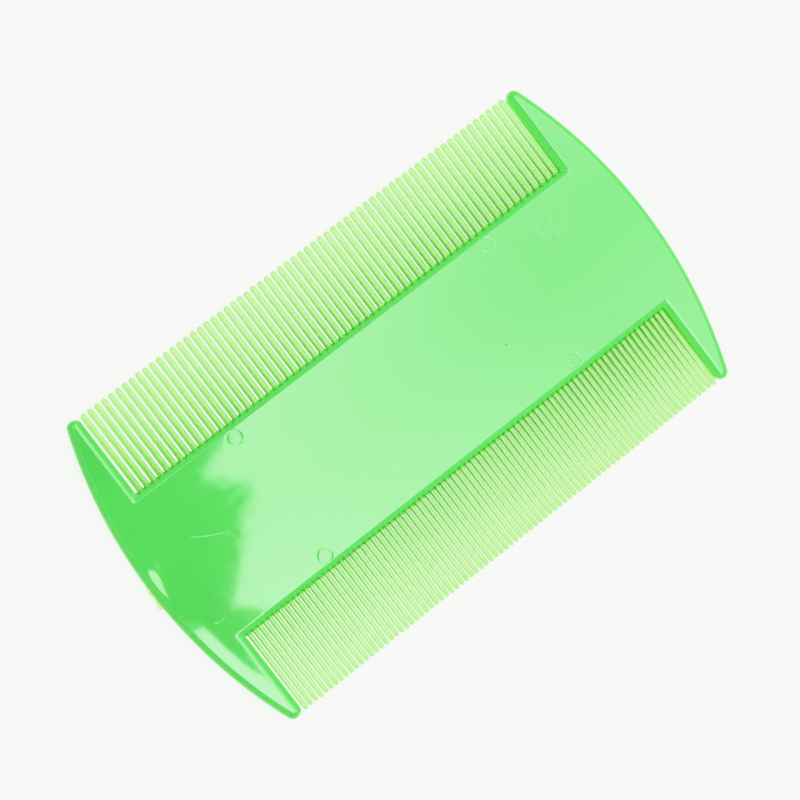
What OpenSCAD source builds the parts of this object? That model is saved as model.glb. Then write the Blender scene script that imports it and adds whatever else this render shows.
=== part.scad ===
// Double-sided flea comb: one flat injection moulding with a coarse and a fine row of teeth.
// The origin is the centre of the flat underside. +X runs along the comb, towards the end
// away from the gate. +Y points to the coarse row, and +Z is up through the thickness.
// Each node is one region of the moulding, and neighbouring regions meet face to face.

/* [Comb body] */
// Length between the apexes of the two end arcs
comb_length = 90; // [89:0.5:96]
// Width between the tips of the two rows of teeth
comb_width = 52; // [50:0.5:54]
// Thickness of the centre plate and of the end plates
thickness = 2.4; // [2.3:0.1:3.2]
// Radius of each end arc
end_arc_r = 72.6; // [68:0.2:80]
// Radius of the rounding along the outer rim
rim_r = 1.1; // [0.3:0.05:1.1]

/* [Spine and bevels] */
// Distance between the root lines of the two rows
spine_width = 25.1; // [20:0.1:28]
// Distance between the inner walls of the guard teeth
window_length = 76.6; // [76.2:0.1:77.8]
// Width of the bevel around each row of teeth
bevel_width = 0.9; // [0.5:0.1:1.4]
// Depth of the bevel on each face
bevel_drop = 0.5; // [0.2:0.05:0.6]

/* [Coarse teeth] */
// Number of coarse teeth
coarse_count = 64; // [40:1:64]
// Distance between neighbouring coarse teeth
coarse_pitch = 1.19; // [1.1:0.01:1.19]
// Width of one coarse tooth
coarse_tooth_w = 0.86; // [0.6:0.02:0.9]

/* [Fine teeth] */
// Number of fine teeth
fine_count = 84; // [60:1:84]
// Distance between neighbouring fine teeth
fine_pitch = 0.907; // [0.85:0.001:0.907]
// Width of one fine tooth
fine_tooth_w = 0.7; // [0.5:0.02:0.74]

/* [Tooth profile] */
// Thickness of a tooth at its tip
tip_thickness = 0.62; // [0.4:0.02:1]
// How far the teeth stop short of the tips of the guard teeth
tooth_setback = 0.1; // [0:0.05:1]

/* [Moulding marks] */
// Diameter of one ejector pin mark
pin_mark_d = 2.1; // [1.5:0.1:2.5]
// Depth of one ejector pin mark
pin_mark_depth = 0.05; // [0.03:0.01:0.1]
// Distance of the ejector pin marks from the middle of the comb
pin_mark_x = 22.75; // [15:0.25:30]
// Distance of the ejector pin marks from the edge of the bevel
pin_mark_inset = 1.25; // [1.25:0.05:4]
// How far the torn gate stands out of the end arc
gate_stand_out = 0.7; // [0.7:0.1:1.2]
// Width of the torn gate along the end arc
gate_width = 4.4; // [3:0.2:5]
// Thickness of the torn gate
gate_thickness = 1.2; // [0.8:0.1:1.6]

/* [Hidden] */
$fn = 96;

half_length = comb_length / 2;
half_width = comb_width / 2;
half_thickness = thickness / 2;
root_y = spine_width / 2;
panel_y = root_y - bevel_width;
wall_x = window_length / 2;
root_thickness = thickness - 2 * bevel_drop;
arc_centre_x = half_length - end_arc_r;
tip_y = half_width - tooth_setback;
gate_y = -0.1 * gate_width;
pin_mark_y = panel_y - pin_mark_inset;

// The guard tooth ends in a circle that touches its inner wall, the end arc and the comb's
// full width: (a + r)^2 + (half_width - r)^2 = (end_arc_r - r)^2, with a as below.
wall_to_centre = wall_x - arc_centre_x;
tip_b = wall_to_centre - half_width + end_arc_r;
tip_c = wall_to_centre * wall_to_centre + half_width * half_width - end_arc_r * end_arc_r;
guard_tip_r = -tip_b + sqrt(tip_b * tip_b - tip_c);

body_green = [0.25, 0.8, 0.28];
tooth_green = [0.45, 0.85, 0.3];
gate_green = [0.75, 0.85, 0.4];

// Section of a guard tooth: x runs along the comb and y through its thickness. The wall at
// x = from is root_thickness high, and the bevels rise from it to the full thickness.
module guard_section(from, to) {
    polygon([
        [from, bevel_drop],
        [from + bevel_width, 0],
        [to, 0],
        [to, thickness],
        [from + bevel_width, thickness],
        [from, thickness - bevel_drop]
    ]);
}

// The disc that the right-hand end arc belongs to, with its rim rounded.
module end_disc() {
    translate([arc_centre_x, 0, 0])
        rotate_extrude($fn = 720)
            union() {
                square([end_arc_r - rim_r, thickness]);
                translate([end_arc_r - 2 * rim_r, rim_r])
                    square([2 * rim_r, thickness - 2 * rim_r]);
                translate([end_arc_r - rim_r, rim_r])
                    circle(r = rim_r);
                translate([end_arc_r - rim_r, thickness - rim_r])
                    circle(r = rim_r);
            }
}

// Section of a root bar: x runs across the comb and y through its thickness.
module root_section() {
    polygon([
        [panel_y, 0],
        [root_y, bevel_drop],
        [root_y, thickness - bevel_drop],
        [panel_y, thickness]
    ]);
}

// The strip beside a root line that slopes down from the panel to the roots of the teeth.
module root_bar() {
    rotate([90, 0, 90])
        linear_extrude(window_length, center = true)
            root_section();
}

// Everything at the right-hand end between the two root lines.
module end_plate() {
    intersection() {
        end_disc();
        union() {
            translate([wall_x, -panel_y, 0])
                cube([half_length, 2 * panel_y, thickness]);
            for (side = [0, 1])
                mirror([0, side, 0])
                    end_plate_shoulder();
        }
    }
}

// The part of the end plate beside one root bar. The two bevels meet here in a mitre.
module end_plate_shoulder() {
    translate([wall_x, 0, 0])
        rotate([90, 0, 90])
            linear_extrude(half_length)
                root_section();
    translate([0, root_y, 0])
        rotate([90, 0, 0])
            linear_extrude(bevel_width)
                guard_section(wall_x, half_length);
}

// The right-hand guard tooth beside the coarse row, from the root line to its round tip.
module guard_tooth() {
    intersection() {
        end_disc();
        translate([0, half_width, 0])
            rotate([90, 0, 0])
                linear_extrude(half_width - root_y)
                    guard_section(wall_x, half_length);
        guard_tooth_outline();
    }
}

// A guard tooth in plan, still open on the side that the end arc closes.
module guard_tooth_outline() {
    tip_x = wall_x + guard_tip_r;
    tip_centre_y = half_width - guard_tip_r;
    linear_extrude(thickness)
        union() {
            translate([tip_x, tip_centre_y])
                circle(r = guard_tip_r);
            translate([wall_x, root_y])
                square([half_length, tip_centre_y - root_y]);
        }
}

// One tooth in plan: a straight strip with a round tip.
module tooth_outline(width) {
    translate([-width / 2, root_y])
        square([width, tip_y - width / 2 - root_y]);
    translate([0, tip_y - width / 2])
        circle(d = width, $fn = 24);
}

// A row of separate teeth, each thinning from its root to its tip.
module tooth_row(count, pitch, width) {
    intersection() {
        linear_extrude(thickness)
            for (i = [0 : count - 1])
                translate([(i - (count - 1) / 2) * pitch, 0])
                    tooth_outline(width);
        rotate([90, 0, 90])
            linear_extrude(window_length, center = true)
                polygon([
                    [root_y, half_thickness - root_thickness / 2],
                    [tip_y, half_thickness - tip_thickness / 2],
                    [tip_y, half_thickness + tip_thickness / 2],
                    [root_y, half_thickness + root_thickness / 2]
                ]);
    }
}

// Shallow round marks that the four ejector pins left in the upper face.
module pin_marks() {
    for (x = [-pin_mark_x, pin_mark_x])
        for (y = [-pin_mark_y, pin_mark_y])
            translate([x, y, thickness - pin_mark_depth])
                cylinder(d = pin_mark_d, h = thickness);
}

module centre_plate() {
    color(body_green)
        difference() {
            translate([-wall_x, -panel_y, 0])
                cube([window_length, 2 * panel_y, thickness]);
            pin_marks();
        }
}

module left_end_plate() {
    color(body_green)
        mirror([1, 0, 0])
            end_plate();
}

module right_end_plate() {
    color(body_green)
        end_plate();
}

module coarse_root_bar() {
    color(body_green)
        root_bar();
}

module fine_root_bar() {
    color(body_green)
        mirror([0, 1, 0])
            root_bar();
}

module coarse_teeth() {
    color(tooth_green)
        tooth_row(coarse_count, coarse_pitch, coarse_tooth_w);
}

module fine_teeth() {
    color(tooth_green)
        mirror([0, 1, 0])
            tooth_row(fine_count, fine_pitch, fine_tooth_w);
}

module left_coarse_guard_tooth() {
    color(body_green)
        mirror([1, 0, 0])
            guard_tooth();
}

module left_fine_guard_tooth() {
    color(body_green)
        rotate([0, 0, 180])
            guard_tooth();
}

module right_coarse_guard_tooth() {
    color(body_green)
        guard_tooth();
}

module right_fine_guard_tooth() {
    color(body_green)
        mirror([0, 1, 0])
            guard_tooth();
}

// The torn stub where the moulding was broken off its runner, on the left-hand end arc. Most of
// it is a low ragged strip, and it ends in a spike at the fine side.
module gate_vestige() {
    color(gate_green)
        difference() {
            translate([-half_length, gate_y, half_thickness - gate_thickness / 2])
                linear_extrude(gate_thickness)
                    polygon([
                        [rim_r, -0.5 * gate_width],
                        [-0.5 * gate_stand_out, -0.46 * gate_width],
                        [-gate_stand_out, -0.4 * gate_width],
                        [-0.5 * gate_stand_out, -0.24 * gate_width],
                        [-0.35 * gate_stand_out, -0.05 * gate_width],
                        [-0.5 * gate_stand_out, 0.2 * gate_width],
                        [-0.25 * gate_stand_out, 0.4 * gate_width],
                        [rim_r, 0.5 * gate_width]
                    ]);
            mirror([1, 0, 0])
                end_disc();
        }
}

centre_plate();
left_end_plate();
right_end_plate();
coarse_root_bar();
fine_root_bar();
coarse_teeth();
fine_teeth();
left_coarse_guard_tooth();
left_fine_guard_tooth();
right_coarse_guard_tooth();
right_fine_guard_tooth();
gate_vestige();
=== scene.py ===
"""Looks of the flea comb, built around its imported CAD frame.

Sizes inside the shape functions are in millimetres.
"""

import math
import random

import bpy
import numpy as np
from mathutils import Matrix, Vector
from mathutils.geometry import delaunay_2d_cdt


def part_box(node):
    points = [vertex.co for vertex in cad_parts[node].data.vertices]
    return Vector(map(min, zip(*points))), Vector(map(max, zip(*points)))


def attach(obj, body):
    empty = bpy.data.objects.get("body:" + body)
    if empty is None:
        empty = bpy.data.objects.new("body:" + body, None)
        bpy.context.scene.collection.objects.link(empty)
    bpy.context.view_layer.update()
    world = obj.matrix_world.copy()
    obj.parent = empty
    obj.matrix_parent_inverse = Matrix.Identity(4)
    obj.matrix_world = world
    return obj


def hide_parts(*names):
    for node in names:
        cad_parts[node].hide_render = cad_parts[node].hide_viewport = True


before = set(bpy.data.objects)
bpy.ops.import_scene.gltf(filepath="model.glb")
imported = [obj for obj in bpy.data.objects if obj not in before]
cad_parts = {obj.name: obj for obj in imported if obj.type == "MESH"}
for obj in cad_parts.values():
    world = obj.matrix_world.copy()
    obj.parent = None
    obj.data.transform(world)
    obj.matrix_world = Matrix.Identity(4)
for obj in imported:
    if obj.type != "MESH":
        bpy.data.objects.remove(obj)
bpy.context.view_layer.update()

MM = 0.001

RIM_R = 1.1  # radius of the outer rim's rounding, as in the CAD model

# Shape details that the CAD model leaves plain, in millimetres unless a comment says otherwise
ROW_SPACING = 0.25  # between mesh points along the top edge of a root bar's bevel
FILLET = 0.28  # half width of the rounding at the top of a bevel, as a share of the bevel
MITRE_ROUNDING = 0.5  # where two bevels meet at a window's corner, as a share of the bevel
CROWN_DEPTH = 0.07  # how far each face falls away towards the end arcs
CROWN_WIDTH = 3.4  # how far in from the end arcs that falling away begins
CROWN_ROWS = (1.4, 1.8, 2.3, 2.9, 3.6)  # how far inside the end arcs its mesh rows lie
END_SPACING = 0.5  # between mesh points along an end plate's arcs
GUARD_SPACING = 0.4  # between mesh points along a guard tooth's edges
PIN_MARK_R = 1.05
PIN_MARK_GROOVE = 0.03  # depth of the ring round an ejector pin mark
PIN_MARK_LINE = 0.11  # half width of that ring
PIN_MARK_X = 22.75  # from the middle of the comb
PIN_MARK_INSET = 1.25  # from the edge of the panel
PIN_MARK_RINGS = (0.8, 0.9, 0.97, 1.02, 1.05, 1.08, 1.13, 1.2, 1.3)  # radii of its mesh rows
SINK_CENTRE = (-42.3, 0.45)  # a shallow sink mark beside the gate
SINK_SIZE = (1.4, 3.2)  # how far it spreads along x and y
SINK_DEPTH = 0.13
SPECKS = ((16.3, -2.6, 0.16), (31.5, -8.8, 0.12), (-13.2, -9.1, 0.10))  # x, y, radius
GAP_RUNOUT = 0.5  # how far the gaps between the teeth run up the bevel
GAP_RUNOUT_DEPTH = 0.42
GAP_RUNOUT_ROWS = (0.08, 0.16, 0.24, 0.32, 0.4, 0.5)  # mesh rows over the run-outs, from the root
GAP_RUNOUT_SPACING = 0.11  # between the points of one such row
HAIRLINE_HALF_WIDTH = 0.045
FLOW_MARKS = (32.0, 7.5, 5.0)  # x, y and radius of the mottled patch on the plate
# Hairline scratches: three points that each arc passes through
HAIRLINES = (
    ((-36.3, 3.4), (-34.25, 2.0), (-31.3, 0.6)),
    ((-31.3, 0.6), (-31.05, -0.45), (-31.15, -2.0)),
    ((-40.6, -8.3), (-40.0, -8.65), (-39.0, -8.5)),
)
# Outline of the torn stub: (share of its width, how far it stands out of the end arc)
STUB_PROFILE = (
    (0.0, 0.0), (0.03, 0.3), (0.08, 0.6), (0.15, 0.47), (0.25, 0.36), (0.35, 0.24), (0.5, 0.17),
    (0.64, 0.2), (0.7, 0.44), (0.74, 0.36), (0.8, 0.2), (0.88, 0.24), (1.0, 0.03),
)
COARSE_COUNT = 64
COARSE_TOOTH_W = 0.86
FINE_COUNT = 84
FINE_TOOTH_W = 0.70
TOOTH_TIP_THICKNESS = 0.62
POLYSTYRENE_IOR = 1.59
ROOT_FLARE = 0.28  # how much wider a tooth is at its root, as a share of its width
ROOT_FLARE_LENGTH = 0.12
TOOTH_STRAY = 0.02  # how far a tip strays sideways and up or down
TOOTH_SHORTFALL = 0.06  # how much shorter than full length a tooth may be

# Camera
CAMERA_DISTANCE = 301.2
CAMERA_TARGET = (-0.72, 0.39, 1.6)
CAMERA_TILT = 9.52  # degrees off the comb's normal
CAMERA_HEADING = 165.69  # which way the camera leans, in degrees from +X
LONG_AXIS_ANGLE = 37.7  # degrees above the picture's horizontal
CAMERA_LENS = 95.5

# Lights
# Softbox: brightness at the two ends of its fade, and where along X the fade lies. Towards its
# two sides it glows a little more: how much, and how far from its middle line that begins and ends
SOFTBOX_CENTRE = (150, -5)
SOFTBOX_SIZE = (550, 230)
SOFTBOX_HEIGHT = 325
SOFTBOX_RADIANCE = (8.9, 3.0)
SOFTBOX_FADE_X = (-35, 110)
SOFTBOX_SIDE_GLOW = 1.2
SOFTBOX_SIDES = (8, 40)
# Outline and height of the dark card over the comb, which the left end of the plate mirrors
DARK_CARD_HEIGHT = 312
DARK_CARD = (
    (4, 90), (3, 8), (-10, 5), (1, -5), (-18, -24), (-25, -30), (-17, -37),
    (-27, -42), (-32, -54), (-38, -51), (-42, -31), (-68, -30),
    (-74, -37), (-130, -37), (-130, 90),
)


class Sizes:
    """The comb's driving sizes in millimetres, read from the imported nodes."""

    def __init__(self):
        def high(node):
            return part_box(node)[1] / MM

        def low(node):
            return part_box(node)[0] / MM

        self.thickness = high("centre_plate").z
        self.half = self.thickness / 2
        self.panel_y = high("centre_plate").y
        self.wall_x = high("centre_plate").x
        self.root_y = high("coarse_root_bar").y
        self.bevel = self.root_y - self.panel_y
        self.panel_x = self.wall_x + self.bevel
        self.half_length = high("right_end_plate").x
        self.half_width = high("right_coarse_guard_tooth").y
        self.tooth_tip_y = high("coarse_teeth").y
        self.root_half = (high("coarse_teeth").z - low("coarse_teeth").z) / 2
        self.drop = self.half - self.root_half
        self.coarse_half_row = high("coarse_teeth").x
        self.fine_half_row = high("fine_teeth").x
        # The end arc, from its sagitta between the apex and the root line
        sagitta = self.half_length - high("right_coarse_guard_tooth").x
        self.arc_r = (self.root_y**2 + sagitta**2) / (2 * sagitta)
        self.arc_x = self.half_length - self.arc_r
        self.coarse_pitch = (2 * self.coarse_half_row - COARSE_TOOTH_W) / (COARSE_COUNT - 1)
        self.fine_pitch = (2 * self.fine_half_row - FINE_TOOTH_W) / (FINE_COUNT - 1)
        # The circle that rounds a guard tooth touches its wall, the end arc and the full width
        reach = self.wall_x - self.arc_x
        b = reach - self.half_width + self.arc_r
        c = reach**2 + self.half_width**2 - self.arc_r**2
        self.tip_r = -b + math.sqrt(b * b - c)
        self.tip_x = self.wall_x + self.tip_r
        self.tip_y = self.half_width - self.tip_r
        self.tip_angle = math.atan2(self.tip_y, self.tip_x - self.arc_x)


S = Sizes()


# ---------------------------------------------------------------- surface of the moulding

def eased(x):
    """0 below 0, 1 above 1, and smooth between."""
    x = np.clip(x, 0.0, 1.0)
    return x * x * (3 - 2 * x)


def soft_ramp(d):
    """0 before the bevel and d on it, with a rounded corner between them."""
    return np.where(d < -FILLET, 0.0, np.where(d > FILLET, d, (d + FILLET) ** 2 / (4 * FILLET)))


def soft_min(a, b, k):
    """The smaller of a and b, blended where they differ by less than k."""
    h = np.clip(0.5 + 0.5 * (b - a) / k, 0.0, 1.0)
    return b * (1 - h) + a * h - k * h * (1 - h)


def rim_height(d, r):
    """Half thickness at d millimetres inside an outer rim rounded to a radius r."""
    t = np.clip(r - d, 0.0, r)
    return S.half - r + np.sqrt(np.maximum(r * r - t * t, 0.0))


def half_height(x, y):
    """Half thickness of the moulding at (x, y), teeth aside."""
    ax, ay = np.abs(x), np.abs(y)
    in_y = (ay - S.panel_y) / S.bevel
    in_x = (S.panel_x - ax) / S.bevel
    bevelled = S.half - S.drop * soft_ramp(soft_min(in_y, in_x, MITRE_ROUNDING))
    from_arc = S.arc_r - np.hypot(ax - S.arc_x, ay)
    # The round end of a guard tooth, where the rim's rounding fades out towards the inner wall
    rho = np.hypot(ax - S.tip_x, ay - S.tip_y)
    angle = np.arctan2(ay - S.tip_y, ax - S.tip_x)
    round_tip = (ay > S.tip_y) & (angle > S.tip_angle)
    d = np.maximum(np.where(round_tip, S.tip_r - rho, from_arc), 0.0)
    r = np.where(round_tip, RIM_R * eased((math.pi - angle) / 1.2), RIM_R)
    crown = CROWN_DEPTH * np.clip(1 - from_arc / CROWN_WIDTH, 0.0, 1.0) ** 2
    return np.minimum(bevelled, rim_height(d, r)) - crown - gap_runout(x, y)


def gap_runout(x, y):
    """How deep the ends of the gaps between the teeth cut into the bevel."""
    pitch = np.where(y > 0, S.coarse_pitch, S.fine_pitch)
    between = (0.5 + 0.5 * np.cos(2 * math.pi * x / pitch)) ** 2
    rise = eased((np.abs(y) - S.root_y + GAP_RUNOUT) / GAP_RUNOUT)
    in_window = eased((S.wall_x - np.abs(x)) / 0.4)
    return GAP_RUNOUT_DEPTH * between * rise * in_window


def sink_mark(x, y):
    """How far the upper face is sunk beside the gate."""
    u = (x - SINK_CENTRE[0]) / SINK_SIZE[0]
    v = (y - SINK_CENTRE[1]) / SINK_SIZE[1]
    return SINK_DEPTH * np.exp(-u * u - v * v)


def pin_marks(x, y):
    """How far the upper face is lowered by the four ejector pin marks."""
    r = np.hypot(np.abs(x) - PIN_MARK_X, np.abs(y) - (S.panel_y - PIN_MARK_INSET))
    groove = np.exp(-(((r - PIN_MARK_R) / PIN_MARK_LINE) ** 2))
    return PIN_MARK_GROOVE * groove


def upper(x, y):
    """How far the upper face lies above the middle plane, with its marks."""
    inner = eased((S.arc_r - np.hypot(np.abs(x) - S.arc_x, y) - 0.6) / 1.2)
    return half_height(x, y) - pin_marks(x, y) - sink_mark(x, y) * inner


def thinness(x, y):
    """0 on the plate, and 1 where the moulding is so thin that more light comes through it; the
    material paints that light into the colour as a brighter, purer green.
    """
    return np.clip((S.half - half_height(x, y)) / S.drop, 0.0, 1.0)


def slopes(surface, x, y, step=0.002):
    """Unit normals of a height field, as rows."""
    dx = (surface(x + step, y) - surface(x - step, y)) / (2 * step)
    dy = (surface(x, y + step) - surface(x, y - step)) / (2 * step)
    n = np.stack([-dx, -dy, np.ones_like(dx)], 1)
    return n / np.linalg.norm(n, axis=1)[:, None]


# ---------------------------------------------------------------- mesh tools

def new_piece(name, verts, faces, replaced, normals=None):
    """A mesh object from millimetres, standing for CAD nodes and riding on the one body."""
    mesh = bpy.data.meshes.new(name)
    mesh.from_pydata([Vector(v) * MM for v in verts], [], faces)
    mesh.update()
    mesh.shade_smooth()
    if normals is not None:
        mesh.normals_split_custom_set(normals)
    obj = bpy.data.objects.new(name, mesh)
    bpy.context.scene.collection.objects.link(obj)
    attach(obj, "root")
    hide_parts(*replaced)
    return obj


def point_attribute(obj, name, values):
    """Stores one number at each point of a mesh, for its material to read."""
    attribute = obj.data.attributes.new(name, "FLOAT", "POINT")
    attribute.data.foreach_set("value", np.asarray(values, np.float32))


def inside(points, loop):
    """Which points lie inside a closed outline, by crossings."""
    x, y = points[:, 0], points[:, 1]
    hit = np.zeros(len(points), bool)
    for (x1, y1), (x2, y2) in zip(loop, np.roll(loop, -1, axis=0)):
        crosses = (y1 > y) != (y2 > y)
        at = x1 + (y - y1) * (x2 - x1) / (y2 - y1 if y2 != y1 else 1.0)
        hit ^= crosses & (x < at)
    return hit


def distance_to(points, loop):
    """Distance from each point to a closed outline."""
    best = np.full(len(points), 1e9)
    for a, b in zip(loop, np.roll(loop, -1, axis=0)):
        ab = b - a
        t = np.clip(((points - a) @ ab) / max(ab @ ab, 1e-12), 0, 1)
        best = np.minimum(best, np.linalg.norm(points - a - t[:, None] * ab, axis=1))
    return best


def thinned(points, gap):
    """Points with near doubles left out, the earlier one kept."""
    kept, cells = [], set()
    for p in points:
        cell = (round(p[0] / gap), round(p[1] / gap))
        if cell not in cells:
            cells.add(cell)
            kept.append(p)
    return np.array(kept)


def slab(name, outline, rows, replaced, gap=0.03):
    """A closed solid between the upper surface and the lower one, over a plan outline."""
    loop = np.array(outline)
    pts = thinned(np.concatenate(rows), gap)
    pts = pts[inside(pts, loop)]
    pts = pts[distance_to(pts, loop) > 0.8 * gap]
    flat = np.concatenate([loop, pts])
    n = len(loop)
    edges = [(i, (i + 1) % n) for i in range(n)]
    made = delaunay_2d_cdt([Vector(p) for p in flat], edges, [], 1, 1e-6)
    xy = np.array([tuple(v) for v in made[0]])
    triangles = [tuple(f) for f in made[2]]
    x, y = xy[:, 0], xy[:, 1]
    top, low = upper(x, y), half_height(x, y)
    count = len(xy)
    verts = np.concatenate([
        np.stack([x, y, S.half + top], 1),
        np.stack([x, y, S.half - low], 1),
    ])
    seen = {}
    for t in triangles:
        for i in range(3):
            e = (t[i], t[(i + 1) % 3])
            seen[tuple(sorted(e))] = None if tuple(sorted(e)) in seen else e
    border = [e for e in seen.values() if e]
    faces = list(triangles)
    faces += [(a + count, c + count, b + count) for a, b, c in triangles]
    faces += [(b, a, a + count, b + count) for a, b in border]
    up = slopes(upper, x, y)
    down = slopes(half_height, x, y) * [1, 1, -1]
    after = {a: b for a, b in border}
    before = {b: a for a, b in border}

    def wall_normal(a, b, at):
        """The wall's normal at one of its ends, smooth over a gentle turn."""
        def out(p, q):
            d = xy[q] - xy[p]
            return np.array([d[1], -d[0]]) / max(np.linalg.norm(d), 1e-9)

        here = out(a, b)
        there = out(before[a], a) if at == a else out(b, after[b])
        mixed = here + there if here @ there > math.cos(math.radians(30)) else here
        return [*(mixed / np.linalg.norm(mixed)), 0.0]

    normals = [up[i] for t in triangles for i in t]
    normals += [down[i] for a, b, c in triangles for i in (a, c, b)]
    for a, b in border:
        na, nb = wall_normal(a, b, a), wall_normal(a, b, b)
        normals += [nb, na, na, nb]
    normals = [tuple(float(c) for c in v) for v in normals]
    obj = new_piece(name, verts, faces, replaced, normals)
    # Thinness at each point, from which the material paints light through the thin bevels and rims.
    point_attribute(obj, "thin", np.tile(thinness(x, y), 2))
    # The walls inside the windows: the material makes them matte and paints them lighter, as painted
    # light lifting the shade in the gaps beside the teeth.
    middles = np.array([(xy[a] + xy[b]) / 2 for a, b in border])
    in_window = (np.abs(middles[:, 0]) < S.wall_x + 0.02) & (np.abs(middles[:, 1]) > S.root_y - 0.02)
    is_wall = np.zeros(len(faces), np.float32)
    is_wall[2 * len(triangles):] = in_window
    obj.data.attributes.new("wall", "FLOAT", "FACE").data.foreach_set("value", is_wall)
    return obj


def from_rim(points):
    """How far inside the end arcs each point lies."""
    return S.arc_r - np.hypot(np.abs(points[:, 0]) - S.arc_x, points[:, 1])


def line(a, b, step):
    """Evenly spaced points from a towards b, without b itself."""
    n = max(1, round(math.dist(a, b) / step))
    return [tuple(np.array(a) + (np.array(b) - np.array(a)) * i / n) for i in range(n)]


def grid(x0, x1, y0, y1, step):
    """Points of a square grid over a rectangle."""
    xs = np.arange(x0, x1 + step / 2, step)
    ys = np.arange(y0, y1 + step / 2, step)
    return np.stack(np.meshgrid(xs, ys), -1).reshape(-1, 2)


def arc_points(r, start, end, step):
    """Points on the end arc's circle or one inside it. Rows of one step line up radially."""
    a0, a1 = math.asin(start / S.arc_r), math.asin(end / S.arc_r)
    n = max(2, round(abs(a1 - a0) * S.arc_r / step))
    a = np.linspace(a0, a1, n + 1)
    return np.stack([S.arc_x + r * np.cos(a), r * np.sin(a)], 1)


def rim_insets():
    """How far inside the rim each row of vertices lies, closer where it curves more."""
    return [RIM_R * (1 - math.cos(math.radians(a))) for a in (18, 30, 42, 54, 66, 78, 90)]


def bevel_insets():
    """Distances from the foot of a bevel that catch its rounded top edge."""
    shares = [0.35, 1 - FILLET, 1 - FILLET / 2, 1, 1 + FILLET / 2, 1 + FILLET, 1.6]
    return [S.bevel * s for s in shares]


def across_bevel():
    """Insets of the shared points at the end of a root bar, from the foot of the bevel up."""
    return np.linspace(0, S.bevel, 10)


def side_ys():
    """Where along y the shared points lie on the seam of an end plate and the centre plate."""
    top = S.root_y - bevel_insets()[-1]
    middle = np.linspace(-top, top, round(2 * top / 0.8) + 1)
    near = [S.root_y - d for d in bevel_insets()[3:-1]]
    return sorted([-y for y in near] + list(middle) + near)


def foot_xs():
    """Shared points along a guard tooth's root line, from its wall to the rounded rim."""
    rim = [S.arc_x + math.sqrt((S.arc_r - d) ** 2 - S.root_y**2) for d in [0.0] + rim_insets()]
    bevel = [S.wall_x + d for d in [0.0, 0.15] + bevel_insets()]
    middle = np.linspace(bevel[-1], rim[-1], max(2, round((rim[-1] - bevel[-1]) / 0.5)) + 1)[1:-1]
    return bevel + list(middle) + rim[::-1]


def mirrored(points, sx, sy):
    """Points times the signs sx and sy, still running the same way round."""
    out = np.array(points) * [sx, sy]
    return out[::-1] if sx * sy < 0 else out


# ---------------------------------------------------------------- the pieces

def make_centre_plate():
    """The flat panel, with mesh rows close together round its pin marks and along its edges."""
    w, h = S.wall_x, S.panel_y
    ys = side_ys()
    outline = (
        line((-w, -h), (w, -h), ROW_SPACING) + [(w, y) for y in ys[:-1]]
        + line((w, h), (-w, h), ROW_SPACING) + [(-w, y) for y in ys[:0:-1]]
    )
    rows = []
    turn = np.linspace(0, 2 * math.pi, 49)[:-1]
    for cx in (-PIN_MARK_X, PIN_MARK_X):
        for cy in (-h + PIN_MARK_INSET, h - PIN_MARK_INSET):
            for r in PIN_MARK_RINGS:
                rows.append(np.stack([cx + r * np.cos(turn), cy + r * np.sin(turn)], 1))
    for inset in bevel_insets()[3:]:
        for side in (-1, 1):
            y = side * (S.root_y - inset)
            rows.append(np.array(line((-w + ROW_SPACING / 2, y), (w, y), ROW_SPACING)))
    rows.append(grid(-w, w, -h + 1, h - 1, 1.6))
    return slab("centre_plate", outline, rows, ["centre_plate"])


def make_root_bar(name, side):
    """The bevelled strip beside the coarse row (side 1) or the fine row (side -1)."""
    w = S.wall_x
    rise = [S.root_y - d for d in across_bevel()]
    outline = (
        line((-w, S.panel_y), (w, S.panel_y), ROW_SPACING) + [(w, y) for y in rise[:0:-1]]
        + line((w, S.root_y), (-w, S.root_y), GAP_RUNOUT_SPACING) + [(-w, y) for y in rise[:-1]]
    )
    rows = []
    for inset in GAP_RUNOUT_ROWS:
        y = S.root_y - inset
        rows.append(np.array(line((-w + GAP_RUNOUT_SPACING, y), (w, y), GAP_RUNOUT_SPACING)))
    for inset in bevel_insets()[1:3]:
        y = S.root_y - inset
        rows.append(np.array(line((-w + ROW_SPACING / 2, y), (w, y), ROW_SPACING)))
    outline = mirrored(outline, 1, side)
    rows = [mirrored(r, 1, side) for r in rows]
    return slab(name, outline, rows, [name])


def make_end_plate(name, side):
    """The end plate towards +X (side 1) or, with its sink mark, towards -X (side -1)."""
    edge = [tuple(p) for p in arc_points(S.arc_r, -S.root_y, S.root_y, END_SPACING)]
    foot = foot_xs()
    rise = [S.root_y - d for d in across_bevel()]
    outline = (
        edge[:-1] + [(x, S.root_y) for x in foot[:0:-1]]
        + [(S.wall_x, y) for y in rise[:-1]] + [(S.wall_x, y) for y in side_ys()[::-1]]
        + [(S.wall_x, -y) for y in rise[-2::-1]] + [(x, -S.root_y) for x in foot[1:-1]]
    )
    insets = rim_insets() + list(CROWN_ROWS)
    rows = [arc_points(S.arc_r - d, -S.root_y, S.root_y, END_SPACING) for d in insets]
    corner = grid(S.wall_x, S.panel_x + 0.6, S.panel_y - 0.6, S.root_y, 0.1)
    rows += [corner, corner * [1, -1]]
    if side < 0:
        sunk = grid(-SINK_CENTRE[0] - 3, S.half_length, -6, 6, 0.3)
        rows.append(sunk[from_rim(sunk) > 1.3])
    inner = grid(S.wall_x + 0.4, S.half_length, -S.root_y, S.root_y, 0.9)
    rows.append(inner[from_rim(inner) > 4.0])
    outline = mirrored(outline, side, 1)
    rows = [mirrored(r, side, 1) for r in rows]
    return slab(name, outline, rows, [name])


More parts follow.
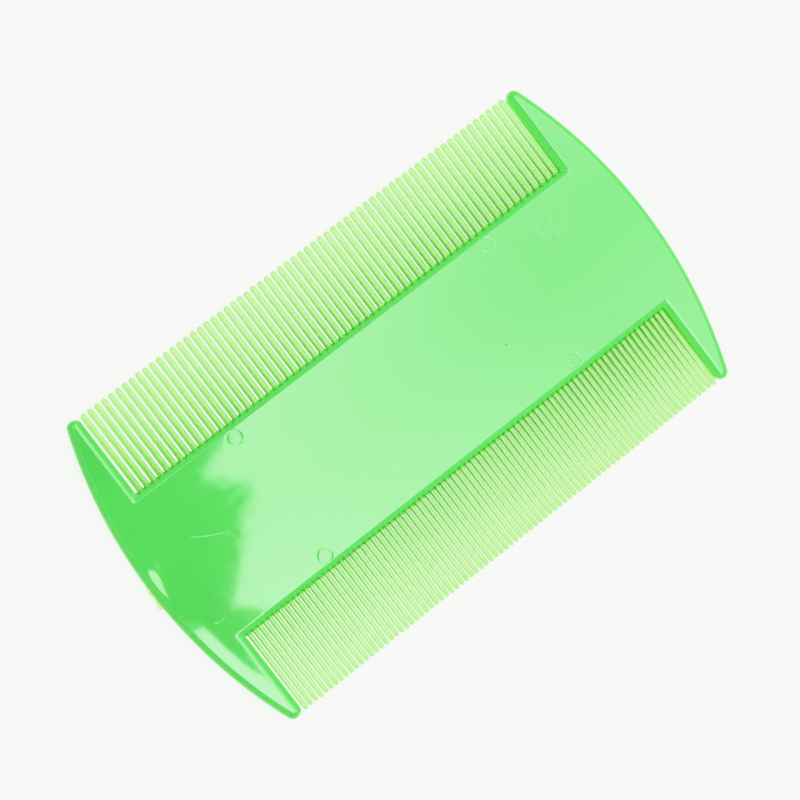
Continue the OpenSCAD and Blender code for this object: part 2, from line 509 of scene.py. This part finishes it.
def make_guard_tooth(name, sx, sy):
    """A broad horn, made at +X and +Y and mirrored by the signs sx and sy."""
    wall = line((S.wall_x, S.tip_y), (S.wall_x, S.root_y), GUARD_SPACING)
    foot = [(x, S.root_y) for x in foot_xs()[:-1]]
    top_of_arc = S.arc_r * math.sin(S.tip_angle)
    arc = [tuple(p) for p in arc_points(S.arc_r, S.root_y, top_of_arc, GUARD_SPACING)]
    turn = np.linspace(S.tip_angle, math.pi, 30)[1:-1]
    tip = [(S.tip_x + S.tip_r * math.cos(a), S.tip_y + S.tip_r * math.sin(a)) for a in turn]
    outline = wall + foot + arc + tip
    rows = [arc_points(S.arc_r - d, S.root_y, top_of_arc, GUARD_SPACING) for d in rim_insets()]
    turn = np.linspace(S.tip_angle, math.pi, 30)
    for d in rim_insets():
        r = S.tip_r - d
        rows.append(np.stack([S.tip_x + r * np.cos(turn), S.tip_y + r * np.sin(turn)], 1))
    inner_rows = CROWN_ROWS[:-1]
    filler = [arc_points(S.arc_r - d, S.root_y, top_of_arc, GUARD_SPACING) for d in inner_rows]
    filler = [r[r[:, 0] > S.wall_x + 1.7 * S.bevel] for r in filler]
    for inset in bevel_insets() + [0.15]:
        x = S.wall_x + inset
        filler.append(np.array(line((x, S.root_y), (x, S.tip_y), GUARD_SPACING)))
    inner = grid(S.wall_x + 1.9 * S.bevel, S.half_length, S.root_y, S.tip_y, 0.7)
    filler.append(inner[from_rim(inner) > 3.3])
    crossing = grid(S.wall_x, S.wall_x + 1.7 * S.bevel, S.root_y, S.tip_y, 0.12)
    filler.append(crossing[from_rim(crossing) < 2.6])
    rows += [r[from_rim(r) > RIM_R + 0.06] for r in filler]
    outline = mirrored(outline, sx, sy)
    rows = [mirrored(r, sx, sy) for r in rows]
    return slab(name, outline, rows, [name])


def edge_x(y):
    """Where along x the right-hand end arc lies, at a given y."""
    return S.arc_x + math.sqrt(S.arc_r**2 - y * y)


def tooth_section(half_w, half_t, sides=16, power=5.0):
    """Points round a tooth's section, a box with rounded corners."""
    out = []
    for i in range(sides):
        a = 2 * math.pi * (i + 0.5) / sides
        c, s = math.cos(a), math.sin(a)
        r = (abs(c) ** power + abs(s) ** power) ** (-1 / power)
        out.append((half_w * r * c, half_t * r * s))
    return out


def tooth_stations(length, width):
    """(share of the length, scale of the section) along a tooth, closer at its round tip."""
    cap = width / 2
    body = [-0.06 / length, 0.1 / length, 0.25 / length, 0.5 / length, 0.25, 0.5, 0.75]
    out = [(t, 1.0) for t in body]
    for a in (0, 18, 36, 52, 66, 78, 87):
        back = cap * (1 - math.sin(math.radians(a)))
        out.append((1 - back / length, math.cos(math.radians(a))))
    return out


def make_teeth(name, side, count, width, pitch, seed):
    """A row of separate teeth that thin towards their tips, each a little out of true."""
    rng = random.Random(seed)
    length = S.tooth_tip_y - S.root_y
    verts, faces, along = [], [], []
    stations = tooth_stations(length, width)
    for i in range(count):
        x0 = (i - (count - 1) / 2) * pitch
        lean = rng.uniform(-TOOTH_STRAY, TOOTH_STRAY)
        lift = rng.uniform(-TOOTH_STRAY, TOOTH_STRAY)
        short = rng.uniform(0.0, TOOTH_SHORTFALL)
        first = len(verts)
        for t, scale in stations:
            u = max(t, 0.0)
            flare = 1 + ROOT_FLARE * math.exp(-u * length / ROOT_FLARE_LENGTH)
            half_t = S.root_half * (1 - u) + TOOTH_TIP_THICKNESS / 2 * u
            squeeze = 0.35 + 0.65 * scale if scale < 1 else 1.0
            section = tooth_section(width / 2 * flare * scale, half_t * squeeze * scale**0.3)
            y = S.root_y + t * (length - short)
            for px, pz in section:
                verts.append((x0 + px + lean * u * u, side * y, S.half + pz + lift * u * u))
                along.append(u)
        sides = len(section)
        for k in range(len(stations) - 1):
            for j in range(sides):
                a = first + k * sides + j
                b = first + k * sides + (j + 1) % sides
                quad = (a, b, b + sides, a + sides)
                faces.append(quad if side < 0 else quad[::-1])
        root = tuple(range(first, first + sides))
        tip = tuple(range(len(verts) - sides, len(verts)))
        faces.append(root[::-1] if side < 0 else root)
        faces.append(tip if side < 0 else tip[::-1])
    obj = new_piece(name, verts, faces, [name])
    # How far along each tooth a point lies; the material paints light through the tips from it.
    point_attribute(obj, "along", along)
    return obj


def make_gate_vestige():
    """The torn stub: a low ragged strip that ends in a spike where the runner broke off."""
    rng = random.Random(7)
    low, high = (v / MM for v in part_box("gate_vestige"))
    verts, faces = [], []
    sections, sides = 41, 12
    shares, reaches = zip(*STUB_PROFILE)
    for k in range(sections):
        s = k / (sections - 1)
        y = low.y + s * (high.y - low.y)
        stand_out = float(np.interp(s, shares, reaches)) + rng.uniform(-0.04, 0.0)
        tip = -edge_x(y) - stand_out
        root = -edge_x(y) + 0.25
        half_t = (high.z - low.z) / 2 * (0.8 + 0.2 * max(stand_out, 0.0)) * rng.uniform(0.9, 1.0)
        for j in range(sides):
            a = 2 * math.pi * j / sides
            out = (0.5 - 0.5 * math.cos(a)) * rng.uniform(0.95, 1.0)
            x = root + (tip - root) * out
            z = S.half + half_t * math.sin(a) * rng.uniform(0.85, 1.0)
            verts.append((max(x, low.x), y, z))
    for k in range(sections - 1):
        for j in range(sides):
            a, b = k * sides + j, k * sides + (j + 1) % sides
            faces.append((a + sides, b + sides, b, a))
    faces.append(tuple(range(sides)))
    faces.append(tuple(range((sections - 1) * sides, sections * sides))[::-1])
    return new_piece("gate_vestige", verts, faces, ["gate_vestige"])


# ---------------------------------------------------------------- materials

class Nodes:
    """Short ways to add and join shader nodes."""

    def __init__(self, name):
        self.material = bpy.data.materials.new(name)
        self.material.use_nodes = True
        self.tree = self.material.node_tree
        self.shader = self.tree.nodes["Principled BSDF"]
        self.where = self.add("ShaderNodeTexCoord").outputs["Object"]

    def add(self, kind, **settings):
        node = self.tree.nodes.new(kind)
        for key, value in settings.items():
            setattr(node, key, value)
        return node

    def join(self, source, target):
        self.tree.links.new(source, target)

    def noise(self, scale, detail=3.0, distortion=0.0, stretch=(1, 1, 1)):
        """Smooth noise from 0 to 1, fixed to the comb."""
        mapping = self.add("ShaderNodeMapping")
        mapping.inputs["Scale"].default_value = stretch
        self.join(self.where, mapping.inputs["Vector"])
        noise = self.add("ShaderNodeTexNoise")
        noise.inputs["Scale"].default_value = scale
        noise.inputs["Detail"].default_value = detail
        noise.inputs["Distortion"].default_value = distortion
        self.join(mapping.outputs["Vector"], noise.inputs["Vector"])
        return noise.outputs["Fac"]

    def attribute(self, name):
        """A number stored in the mesh."""
        node = self.add("ShaderNodeAttribute", attribute_name=name)
        return node.outputs["Fac"]

    def spread(self, value, from_low, from_high, to_low, to_high):
        """A value carried from one range to another, and held at its ends."""
        node = self.add("ShaderNodeMapRange")
        for key, number in zip(
            ("From Min", "From Max", "To Min", "To Max"), (from_low, from_high, to_low, to_high)
        ):
            node.inputs[key].default_value = number
        self.join(value, node.inputs["Value"])
        return node.outputs["Result"]

    def combine(self, operation, a, b):
        """Two values joined by a maths operation."""
        node = self.add("ShaderNodeMath", operation=operation)
        self.join(a, node.inputs[0])
        self.join(b, node.inputs[1])
        return node.outputs[0]

    def spot(self, x, y, radius, core):
        """1 near a point of the upper face, fading to 0 between core * radius and radius."""
        return self.from_point(x, y, core * radius, radius, 1.0, 0.0)

    def from_point(self, x, y, near, far, at_near, at_far):
        """A value that changes from near to far millimetres from a point of the upper face."""
        apart = self.add("ShaderNodeVectorMath", operation="DISTANCE")
        apart.inputs[1].default_value = (x * MM, y * MM, S.thickness * MM)
        self.join(self.where, apart.inputs[0])
        return self.spread(apart.outputs["Value"], near * MM, far * MM, at_near, at_far)

    def mix(self, share, a, b):
        """The colour a where share is 0, and b where it is 1."""
        node = self.add("ShaderNodeMix", data_type="RGBA")
        for socket, value in ((node.inputs[0], share), (node.inputs[6], a), (node.inputs[7], b)):
            if isinstance(value, bpy.types.NodeSocket):
                self.join(value, socket)
            elif hasattr(value, "__len__"):
                socket.default_value = (*value, 1.0)
            else:
                socket.default_value = value
        return node.outputs[2]

    def bump(self, height, strength, distance, under=None):
        """A normal roughened by a height, over another bump if one is given."""
        node = self.add("ShaderNodeBump")
        node.inputs["Strength"].default_value = strength
        node.inputs["Distance"].default_value = distance
        self.join(height, node.inputs["Height"])
        if under is not None:
            self.join(under, node.inputs["Normal"])
        return node.outputs["Normal"]


def speck_mask(m):
    """1 inside the dark specks moulded into the plate, 0 elsewhere."""
    mask = m.spot(*SPECKS[0], 0.6)
    for speck in SPECKS[1:]:
        mask = m.combine("MAXIMUM", mask, m.spot(*speck, 0.6))
    return mask


def circle_through(a, b, c):
    """Centre and radius of the circle through three points."""
    rows = 2 * np.array([np.subtract(b, a), np.subtract(c, a)])
    right = [np.dot(b, b) - np.dot(a, a), np.dot(c, c) - np.dot(a, a)]
    centre = np.linalg.solve(rows, right)
    return centre, math.dist(centre, a)


def scratch_mask(m):
    """1 along the hairline scratches, 0 elsewhere."""
    mask = None
    for a, b, c in HAIRLINES:
        centre, radius = circle_through(a, b, c)
        rising = m.from_point(*centre, radius - HAIRLINE_HALF_WIDTH, radius, 0.0, 1.0)
        falling = m.from_point(*centre, radius, radius + HAIRLINE_HALF_WIDTH, 1.0, 0.0)
        middle = (np.array(a) + np.array(c)) / 2
        arc = m.combine("MULTIPLY", rising, falling)
        arc = m.combine("MULTIPLY", arc, m.spot(*middle, math.dist(a, c) / 2 + 0.3, 0.7))
        mask = arc if mask is None else m.combine("MAXIMUM", mask, arc)
    return mask


def flow_marks(m):
    """Fine mottling in one patch of the plate, fading out at the patch's edge."""
    spots = m.spread(m.noise(900, 2.0), 0.5, 0.66, 0.0, 1.0)
    return m.combine("MULTIPLY", m.spot(*FLOW_MARKS, 0.4), spots)


def body_material():
    """Polished faces and matte walls. Painted light: a brighter, purer green where the moulding is
    thin, standing in for light shining through it, and lighter walls in the windows, lifting their
    shade.
    """
    m = Nodes("body_plastic")
    flow = m.noise(60, 4.0, 0.6, (0.5, 1.2, 1))
    colour = m.mix(m.spread(flow, 0.35, 0.65, 0.0, 1.0), (0.088, 0.50, 0.094), (0.097, 0.53, 0.103))
    # Painted light: bevels and rims are painted a brighter, purer green, standing in for light
    # shining through the thin plastic.
    thin = m.spread(m.attribute("thin"), 0.0, 1.0, 0.0, 0.85)
    colour = m.mix(thin, colour, (0.08, 0.56, 0.052))
    # Painted light: the walls inside the windows are painted a lighter lime green, lifting the shade
    # in the narrow gaps beside the teeth. The same attribute also makes them matte below.
    wall = m.attribute("wall")
    colour = m.mix(wall, colour, (0.34, 0.86, 0.18))
    colour = m.mix(speck_mask(m), colour, (0.02, 0.06, 0.02))
    m.join(colour, m.shader.inputs["Base Color"])
    polish = m.spread(m.noise(900, 3.0), 0.3, 0.7, 0.04, 0.08)
    roughness = m.combine("MAXIMUM", polish, m.spread(wall, 0.0, 1.0, 0.0, 0.6))
    m.join(roughness, m.shader.inputs["Roughness"])
    m.join(m.spread(wall, 0.0, 1.0, 0.5, 0.08), m.shader.inputs["Specular IOR Level"])
    m.join(m.spread(wall, 0.0, 1.0, 0.2, 0.0), m.shader.inputs["Coat Weight"])
    waves = m.bump(m.noise(120, 2.0), 0.09, 0.0002)
    mottled = m.bump(flow_marks(m), 0.8, 0.00003, waves)
    scratched = m.bump(scratch_mask(m), 0.18, 0.00002, mottled)
    m.join(scratched, m.shader.inputs["Normal"])
    m.join(waves, m.shader.inputs["Coat Normal"])
    m.shader.inputs["IOR"].default_value = POLYSTYRENE_IOR
    m.shader.inputs["Coat Roughness"].default_value = 0.04
    return m.material


def tooth_material():
    """The same plastic with light scattering in it, and painted light: paler and yellower towards
    the tips, standing in for the light that shines through them as they thin.
    """
    m = Nodes("tooth_plastic")
    along = m.attribute("along")
    # Painted light: from root to tip the colour turns paler and yellower, standing in for more light
    # shining through the thinning teeth.
    colour = m.mix(m.spread(along, 0.0, 1.0, 0.0, 1.0), (0.18, 0.55, 0.07), (0.46, 0.75, 0.28))
    uneven = m.mix(m.spread(m.noise(160, 2.0), 0.35, 0.65, 0.0, 0.15), colour, (0.40, 0.72, 0.20))
    m.join(uneven, m.shader.inputs["Base Color"])
    m.join(m.spread(m.noise(700, 2.0), 0.3, 0.7, 0.10, 0.18), m.shader.inputs["Roughness"])
    m.shader.inputs["IOR"].default_value = POLYSTYRENE_IOR
    m.shader.inputs["Subsurface Weight"].default_value = 0.6
    m.shader.inputs["Subsurface Radius"].default_value = (0.6, 1.0, 0.5)
    m.shader.inputs["Subsurface Scale"].default_value = 0.0009
    return m.material


def torn_material():
    """Rough plastic, whitened where it was torn."""
    m = Nodes("torn_plastic")
    colour = m.mix(m.noise(1500, 3.0), (0.46, 0.72, 0.16), (0.78, 0.88, 0.42))
    m.join(colour, m.shader.inputs["Base Color"])
    m.shader.inputs["Roughness"].default_value = 0.55
    m.join(m.bump(m.noise(2500, 4.0), 0.6, 0.0001), m.shader.inputs["Normal"])
    return m.material


def floor_material():
    """Mid grey that also glows, so that the floor comes out nearly white in every view."""
    m = Nodes("pale_floor")
    colour = m.mix(m.noise(30, 3.0), (0.33, 0.33, 0.33), (0.37, 0.37, 0.37))
    m.join(colour, m.shader.inputs["Base Color"])
    m.shader.inputs["Roughness"].default_value = 0.6
    m.shader.inputs["Emission Color"].default_value = (1, 1, 1, 1)
    m.shader.inputs["Emission Strength"].default_value = 1.0
    return m.material


# ---------------------------------------------------------------- stage

def make_camera():
    """The picture's view: from above the comb, tilted and turned, with the long axis slanting."""
    tilt, heading = math.radians(CAMERA_TILT), math.radians(CAMERA_HEADING)
    back = Vector((
        math.sin(tilt) * math.cos(heading), math.sin(tilt) * math.sin(heading), math.cos(tilt)
    ))
    along = Vector((1, 0, 0))
    along = (along - back * along.dot(back)).normalized()
    across = back.cross(along)
    turn = math.radians(LONG_AXIS_ANGLE)
    right = along * math.cos(turn) - across * math.sin(turn)
    up = along * math.sin(turn) + across * math.cos(turn)
    place = Vector(CAMERA_TARGET) + back * CAMERA_DISTANCE
    data = bpy.data.cameras.new("camera")
    data.lens = CAMERA_LENS
    data.sensor_width = 36
    data.clip_start, data.clip_end = 0.01, 20
    camera = bpy.data.objects.new("camera", data)
    camera.matrix_world = Matrix.LocRotScale(
        place * MM, Matrix((right, up, back)).transposed(), None
    )
    bpy.context.scene.collection.objects.link(camera)
    bpy.context.scene.camera = camera


def make_floor():
    """A plain square, six metres across."""
    size = 3.0
    # Just under the comb, so that the floor and the flat underside don't share a plane
    z = -0.05 * MM
    corners = [(-size, -size, z), (size, -size, z), (size, size, z), (-size, size, z)]
    mesh = bpy.data.meshes.new("floor")
    mesh.from_pydata(corners, [], [(0, 1, 2, 3)])
    floor = bpy.data.objects.new("floor", mesh)
    bpy.context.scene.collection.objects.link(floor)
    mesh.materials.append(floor_material())


def make_softbox(centre, size, height):
    """A glowing sheet above the comb, which the glossy plate mirrors.

    It is brighter towards -X and, a little, towards its two long sides.
    """
    x, y, w, h = *centre, size[0] / 2, size[1] / 2
    corners = [(x - w, y - h), (x - w, y + h), (x + w, y + h), (x + w, y - h)]
    mesh = bpy.data.meshes.new("softbox")
    mesh.from_pydata([Vector((px, py, height)) * MM for px, py in corners], [], [(0, 1, 2, 3)])
    sheet = bpy.data.objects.new("softbox", mesh)
    bpy.context.scene.collection.objects.link(sheet)
    m = Nodes("softbox")
    position = m.add("ShaderNodeNewGeometry").outputs["Position"]
    apart = m.add("ShaderNodeSeparateXYZ")
    m.join(position, apart.inputs["Vector"])
    low, high = SOFTBOX_FADE_X
    fade = m.spread(apart.outputs["X"], low * MM, high * MM, *SOFTBOX_RADIANCE)
    off_middle = m.add("ShaderNodeMath", operation="SUBTRACT")
    off_middle.inputs[1].default_value = y * MM
    m.join(apart.outputs["Y"], off_middle.inputs[0])
    aside = m.add("ShaderNodeMath", operation="ABSOLUTE")
    m.join(off_middle.outputs[0], aside.inputs[0])
    near, far = SOFTBOX_SIDES
    glow = m.spread(aside.outputs[0], near * MM, far * MM, 0.0, SOFTBOX_SIDE_GLOW)
    m.join(m.combine("ADD", fade, glow), m.shader.inputs["Emission Strength"])
    m.shader.inputs["Emission Color"].default_value = (1, 1, 1, 1)
    m.shader.inputs["Base Color"].default_value = (0, 0, 0, 1)
    m.shader.inputs["Specular IOR Level"].default_value = 0
    mesh.materials.append(m.material)
    sheet.visible_camera = False


def make_dark_card(outline, height):
    """The dark shape over the comb that the left end of the glossy plate mirrors."""
    mesh = bpy.data.meshes.new("dark_card")
    mesh.from_pydata([Vector((x, y, height)) * MM for x, y in outline], [], [range(len(outline))])
    card = bpy.data.objects.new("dark_card", mesh)
    bpy.context.scene.collection.objects.link(card)
    m = Nodes("dark_card")
    m.shader.inputs["Base Color"].default_value = (0.01, 0.01, 0.01, 1)
    m.shader.inputs["Roughness"].default_value = 0.9
    mesh.materials.append(m.material)
    card.visible_camera = False


def make_world(overhead, horizon):
    """White surroundings that brighten towards the horizon, where they meet the pale floor."""
    world = bpy.data.worlds.new("studio")
    world.use_nodes = True
    nodes, links = world.node_tree.nodes, world.node_tree.links
    background = nodes["Background"]
    background.inputs["Color"].default_value = (1, 1, 1, 1)
    apart = nodes.new("ShaderNodeSeparateXYZ")
    links.new(nodes.new("ShaderNodeTexCoord").outputs["Generated"], apart.inputs["Vector"])
    fade = nodes.new("ShaderNodeMapRange")
    fade.inputs["From Max"].default_value = 0.25
    fade.inputs["To Min"].default_value = horizon
    fade.inputs["To Max"].default_value = overhead
    links.new(apart.outputs["Z"], fade.inputs["Value"])
    links.new(fade.outputs["Result"], background.inputs["Strength"])
    bpy.context.scene.world = world


def make_lights():
    """The soft light, the dark shape that it is seen against, and the surroundings."""
    make_softbox(SOFTBOX_CENTRE, SOFTBOX_SIZE, SOFTBOX_HEIGHT)
    make_dark_card(DARK_CARD, DARK_CARD_HEIGHT)
    make_world(overhead=0.74, horizon=1.4)


# ---------------------------------------------------------------- everything

make_camera()
body = body_material()
parts = [
    make_centre_plate(),
    make_root_bar("coarse_root_bar", 1),
    make_root_bar("fine_root_bar", -1),
    make_end_plate("right_end_plate", 1),
    make_end_plate("left_end_plate", -1),
    make_guard_tooth("right_coarse_guard_tooth", 1, 1),
    make_guard_tooth("right_fine_guard_tooth", 1, -1),
    make_guard_tooth("left_coarse_guard_tooth", -1, 1),
    make_guard_tooth("left_fine_guard_tooth", -1, -1),
]
for part in parts:
    part.data.materials.append(body)
teeth = tooth_material()
for part in (
    make_teeth("coarse_teeth", 1, COARSE_COUNT, COARSE_TOOTH_W, S.coarse_pitch, 1),
    make_teeth("fine_teeth", -1, FINE_COUNT, FINE_TOOTH_W, S.fine_pitch, 2),
):
    part.data.materials.append(teeth)
make_gate_vestige().data.materials.append(torn_material())
make_floor()
make_lights()
bpy.context.scene.view_settings.view_transform = "Khronos PBR Neutral"
